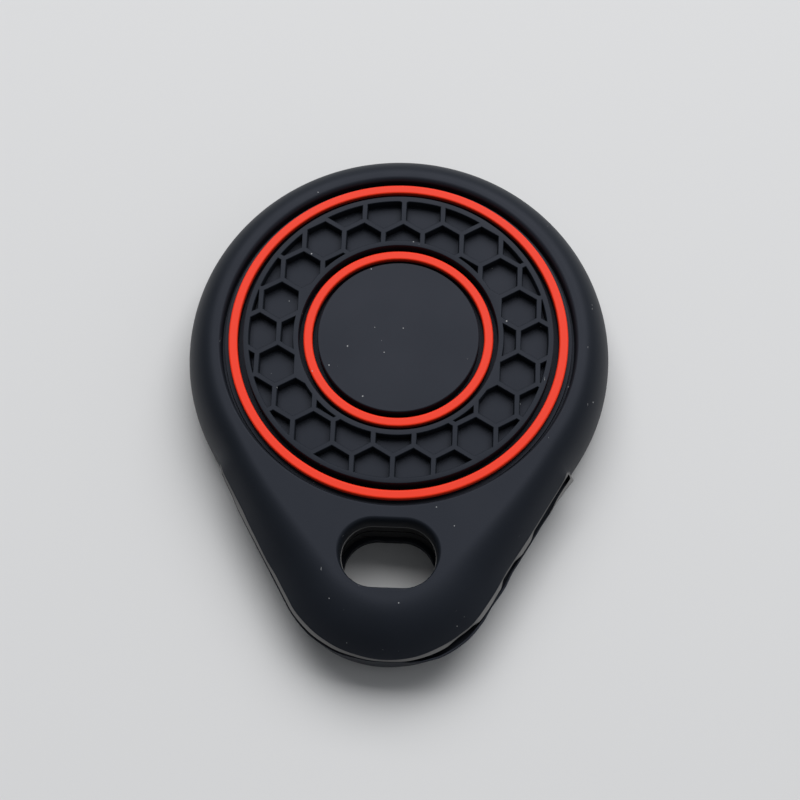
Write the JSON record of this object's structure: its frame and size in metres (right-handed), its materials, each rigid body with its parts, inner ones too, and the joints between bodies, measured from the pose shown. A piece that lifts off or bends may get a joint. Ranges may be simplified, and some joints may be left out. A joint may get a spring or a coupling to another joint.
{
  "type": "access card holder",
  "caption": "Soft silicone sleeve over a teardrop access tag, with a slit mouth, a keyring slot, two coloured rings and a raised honeycomb band. The flap lifts and the tag slides out.",
  "frame": {"origin": "on the flat back, under the middle of the rings", "axes": "+Z out of the decorated face, -Y towards the keyring end, +X to the right seen from the front"},
  "size_m": [0.0378, 0.0474, 0.0075],
  "materials": {
    "black_silicone": "matt",
    "smooth_silicone": "satin",
    "orange_silicone": "matt",
    "tag_plastic": "matt",
    "copper": "enamelled",
    "green_board": "satin",
    "black_resin": "gloss",
    "solder": "bright"
  },
  "bodies": {
    "sleeve": {"sleeve_body": "black_silicone", "honeycomb_ring": "black_silicone", "outer_ring": "orange_silicone", "inner_ring": "orange_silicone", "centre_pad": "smooth_silicone"},
    "lip": {"mouth_lip": "black_silicone"},
    "tag": {"tag_front_case": "tag_plastic", "tag_back_case": "tag_plastic", "antenna_coil": "copper", "coil_lead_a": "copper", "coil_lead_b": "copper", "chip_board": "green_board", "chip_cap": "black_resin", "solder_joint_a": "solder", "solder_joint_b": "solder"}
  },
  "joints": [
    {"name": "lip_bend", "type": "hinge", "parent": "sleeve", "child": "lip", "pos_m": [0, -0.0162, 0.0069], "axis": [-1, 0, 0], "range_deg": [0, 60], "stiffness_Nm_per_rad": 0.001},
    {"name": "tag_slide", "type": "slide", "parent": "sleeve", "child": "tag", "axis": [0, -1, 0], "range_m": [0, 0.048], "deforming": ["sleeve_body", "mouth_lip"]}
  ]
}
